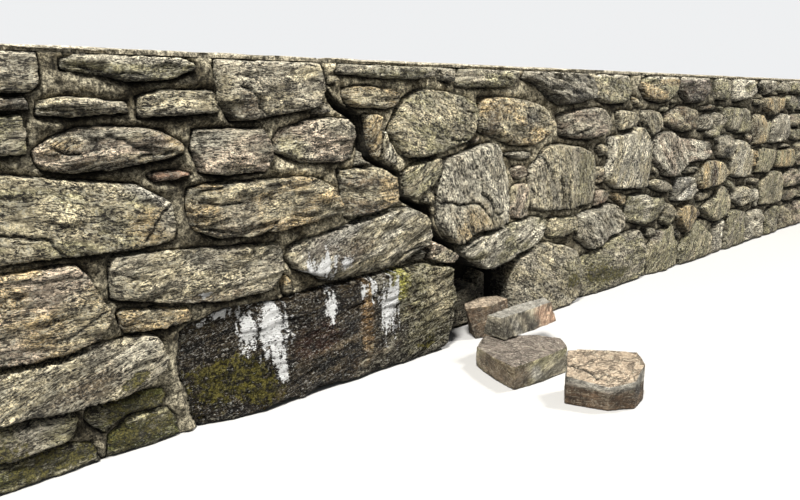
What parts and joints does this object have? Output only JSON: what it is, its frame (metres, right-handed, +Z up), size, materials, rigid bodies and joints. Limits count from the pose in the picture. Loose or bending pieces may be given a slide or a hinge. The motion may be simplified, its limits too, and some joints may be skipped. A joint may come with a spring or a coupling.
{
  "type": "rubble stone retaining wall",
  "caption": "Low mortared rubble stone retaining wall with a stepped crack, a collapsed pocket at its foot and fallen stones lying before it.",
  "frame": {"origin": "middle of the wall's footprint at ground level, half way along its length and half way through its thickness", "axes": "+Z up, +X along the wall to the right as seen from the low side, -Y towards the low side and the facing that shows"},
  "size_m": [8.6, 1.607, 1.52],
  "materials": {
    "capping_cement": "matte",
    "coursed_stone": "matte",
    "dark_stone": "matte",
    "dark_wet_stone": "matte",
    "grey_stone": "matte",
    "mortar": "matte",
    "mossy_stone": "matte",
    "tan_stone": "matte"
  },
  "bodies": {
    "root": {"back_course_1": "coursed_stone", "back_course_2": "coursed_stone", "back_course_3": "coursed_stone", "back_course_4": "coursed_stone", "back_course_5": "coursed_stone", "back_mortar": "mortar", "base_boulder": "mossy_stone", "crack_side_stones": "grey_stone", "dark_layered_capstone": "dark_stone", "fallen_block": "tan_stone", "fallen_chip": "grey_stone", "fallen_slab": "grey_stone", "fissured_block": "dark_stone", "footing_boulder": "dark_wet_stone", "grey_top_block": "grey_stone", "hearting": "mortar", "layered_slab": "grey_stone", "leaning_slab": "tan_stone", "left_base_stones": "mossy_stone", "left_capping": "capping_cement", "left_face_mortar": "mortar", "left_lower_stones": "grey_stone", "left_middle_stones": "grey_stone", "left_quoins": "coursed_stone", "left_top_stones": "grey_stone", "left_upper_stones": "grey_stone", "lens_capstone": "dark_stone", "lens_slab": "grey_stone", "long_capstone": "grey_stone", "long_slab": "tan_stone", "lying_stone": "dark_stone", "ochre_slab": "tan_stone", "pocket_stones": "dark_stone", "right_base_stones": "mossy_stone", "right_capping": "capping_cement", "right_face_mortar": "mortar", "right_lower_stones": "grey_stone", "right_middle_stones": "grey_stone", "right_quoins": "coursed_stone", "right_top_stones": "grey_stone", "right_upper_stones": "grey_stone", "round_boulder": "grey_stone", "slanted_slab": "tan_stone", "tall_pale_stone": "grey_stone", "tall_tan_stone": "tan_stone"}
  },
  "joints": []
}
